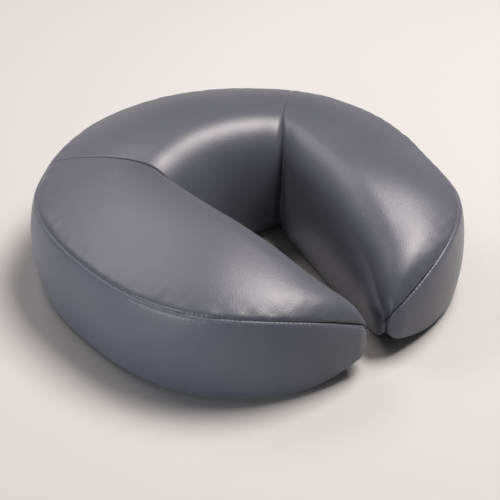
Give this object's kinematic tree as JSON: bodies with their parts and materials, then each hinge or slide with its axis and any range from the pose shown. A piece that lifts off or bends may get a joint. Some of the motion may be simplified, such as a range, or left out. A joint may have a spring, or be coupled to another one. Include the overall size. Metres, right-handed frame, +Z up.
{
  "type": "massage table face cushion",
  "caption": "Horseshoe-shaped padded face cushion with a sewn leatherette cover, foam core and flat base.",
  "frame": {"origin": "centre of the outline on the rest plane, under the cushion", "axes": "+Z up, +Y towards the closed end (the crown), X across from arm to arm"},
  "size_m": [0.3, 0.3055, 0.094],
  "materials": {
    "cover": "satin",
    "band": "satin",
    "base_cloth": "matt woven",
    "loop_tape": "fuzzy loop pile",
    "base_foam": "open cell foam",
    "memory_foam": "fine open cell foam",
    "zip_tape": "woven tape",
    "zip_teeth": "moulded",
    "zip_metal": "dark nickel"
  },
  "bodies": {
    "cushion": {"base_foam": "base_foam", "memory_foam": "memory_foam", "top_panel_left": "cover", "top_panel_crown": "cover", "top_panel_right": "cover", "side_band_left": "band", "side_band_right": "band", "zip_band_upper": "band", "zip_band_lower": "band", "base_panel": "base_cloth", "loop_strip_left": "loop_tape", "loop_strip_right": "loop_tape", "loop_strip_crown_left": "loop_tape", "loop_strip_crown_middle": "loop_tape", "loop_strip_crown_right": "loop_tape", "zip_tape_upper": "zip_tape", "zip_tape_lower": "zip_tape", "zip_teeth_upper": "zip_teeth", "zip_teeth_lower": "zip_teeth", "zip_stops": "zip_metal"},
    "slider": {"zip_slider": "zip_metal"},
    "pull": {"zip_pull_tab": "zip_metal"}
  },
  "joints": [
    {"name": "zip_travel", "type": "hinge", "parent": "cushion", "child": "slider", "pos_m": [0, 0.003, 0.026], "axis": [0, 0, 1], "range_deg": [0, 72]},
    {"name": "pull_flip", "type": "hinge", "parent": "slider", "child": "pull", "pos_m": [0.08975, 0.12653, 0.026], "axis": [0, 0, 1], "range_deg": [0, 180]}
  ]
}
